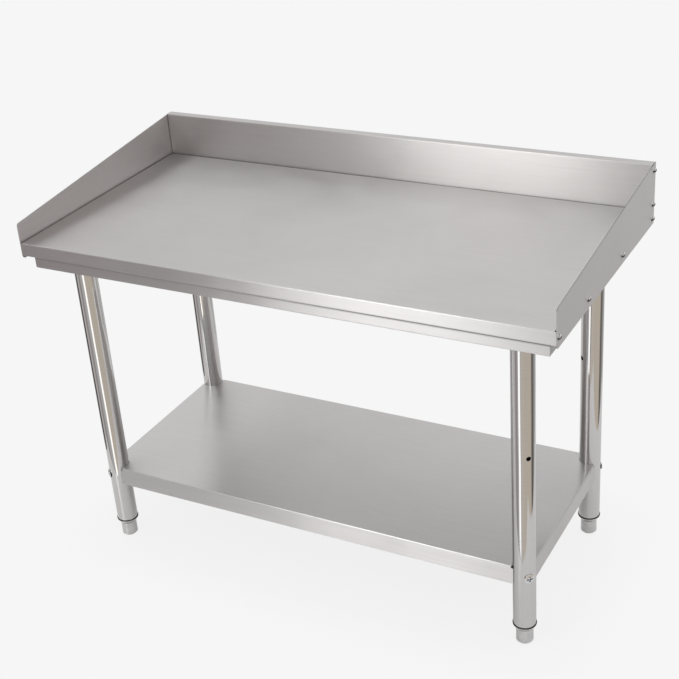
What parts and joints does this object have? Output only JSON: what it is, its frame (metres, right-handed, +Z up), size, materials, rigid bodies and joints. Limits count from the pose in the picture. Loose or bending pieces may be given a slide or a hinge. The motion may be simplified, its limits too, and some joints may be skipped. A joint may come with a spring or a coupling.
{
  "type": "work table",
  "caption": "Free-standing stainless work table with a three-sided raised guard, tube legs, an undershelf and screw-in levelling feet.",
  "frame": {"origin": "on the floor, below the centre of the table's outline, with the feet screwed right in", "axes": "+X along the table's length to the right, +Y from the front to the backsplash, +Z up"},
  "size_m": [1.2092, 0.6, 0.88],
  "materials": {
    "worktop_steel": "satin brushed along the length",
    "shelf_steel": "satin brushed along the length",
    "guard_steel": "brushed",
    "polished_tube": "mirror polished",
    "foot_metal": "satin",
    "black_nylon": "glossy black",
    "bright_fasteners": "bright",
    "plated_steel": "zinc plated",
    "galvanised_steel": "dull galvanised"
  },
  "bodies": {
    "table": {"worktop": "worktop_steel", "front_rail": "worktop_steel", "rear_rail": "worktop_steel", "left_rail": "worktop_steel", "right_rail": "worktop_steel", "left_leg_channel": "galvanised_steel", "right_leg_channel": "galvanised_steel", "front_stiffener": "galvanised_steel", "rear_stiffener": "galvanised_steel", "backsplash": "guard_steel", "left_side_panel": "guard_steel", "right_side_panel": "guard_steel", "backsplash_screws": "plated_steel", "backsplash_nuts": "plated_steel", "side_panel_screws": "bright_fasteners", "front_left_socket": "galvanised_steel", "front_right_socket": "galvanised_steel", "rear_left_socket": "galvanised_steel", "rear_right_socket": "galvanised_steel", "socket_grub_screws": "plated_steel", "front_left_leg": "polished_tube", "front_right_leg": "polished_tube", "rear_left_leg": "polished_tube", "rear_right_leg": "polished_tube", "undershelf": "shelf_steel", "shelf_stiffener": "galvanised_steel", "front_left_bracket": "galvanised_steel", "front_right_bracket": "galvanised_steel", "rear_left_bracket": "galvanised_steel", "rear_right_bracket": "galvanised_steel", "shelf_bolts": "bright_fasteners", "shelf_washers": "plated_steel", "shelf_nuts": "plated_steel", "front_left_insert": "black_nylon", "front_right_insert": "black_nylon", "rear_left_insert": "black_nylon", "rear_right_insert": "black_nylon", "insert_nuts": "plated_steel"},
    "front_left_pad": {"front_left_pad": "black_nylon"},
    "front_left_foot": {"front_left_foot": "foot_metal", "front_left_stud": "plated_steel"},
    "front_right_pad": {"front_right_pad": "black_nylon"},
    "front_right_foot": {"front_right_foot": "foot_metal", "front_right_stud": "plated_steel"},
    "rear_left_pad": {"rear_left_pad": "black_nylon"},
    "rear_left_foot": {"rear_left_foot": "foot_metal", "rear_left_stud": "plated_steel"},
    "rear_right_pad": {"rear_right_pad": "black_nylon"},
    "rear_right_foot": {"rear_right_foot": "foot_metal", "rear_right_stud": "plated_steel"}
  },
  "joints": [
    {"name": "front_left_foot_travel", "type": "slide", "parent": "table", "child": "front_left_pad", "axis": [0, 0, -1], "range_m": [0, 0.0245]},
    {"name": "front_left_foot_turn", "type": "hinge", "parent": "front_left_pad", "child": "front_left_foot", "pos_m": [-0.505, -0.218, 0.02], "axis": [0, 0, -1], "range_deg": [0, 5040]},
    {"name": "front_right_foot_travel", "type": "slide", "parent": "table", "child": "front_right_pad", "axis": [0, 0, -1], "range_m": [0, 0.0245]},
    {"name": "front_right_foot_turn", "type": "hinge", "parent": "front_right_pad", "child": "front_right_foot", "pos_m": [0.505, -0.218, 0.02], "axis": [0, 0, -1], "range_deg": [0, 5040]},
    {"name": "rear_left_foot_travel", "type": "slide", "parent": "table", "child": "rear_left_pad", "axis": [0, 0, -1], "range_m": [0, 0.0245]},
    {"name": "rear_left_foot_turn", "type": "hinge", "parent": "rear_left_pad", "child": "rear_left_foot", "pos_m": [-0.505, 0.198, 0.02], "axis": [0, 0, -1], "range_deg": [0, 5040]},
    {"name": "rear_right_foot_travel", "type": "slide", "parent": "table", "child": "rear_right_pad", "axis": [0, 0, -1], "range_m": [0, 0.0245]},
    {"name": "rear_right_foot_turn", "type": "hinge", "parent": "rear_right_pad", "child": "rear_right_foot", "pos_m": [0.505, 0.198, 0.02], "axis": [0, 0, -1], "range_deg": [0, 5040]}
  ],
  "couplings": [
    {"joint": "front_left_foot_turn", "follows": "front_left_foot_travel", "rad_per_m": 3590.4},
    {"joint": "front_right_foot_turn", "follows": "front_right_foot_travel", "rad_per_m": 3590.4},
    {"joint": "rear_left_foot_turn", "follows": "rear_left_foot_travel", "rad_per_m": 3590.4},
    {"joint": "rear_right_foot_turn", "follows": "rear_right_foot_travel", "rad_per_m": 3590.4}
  ]
}
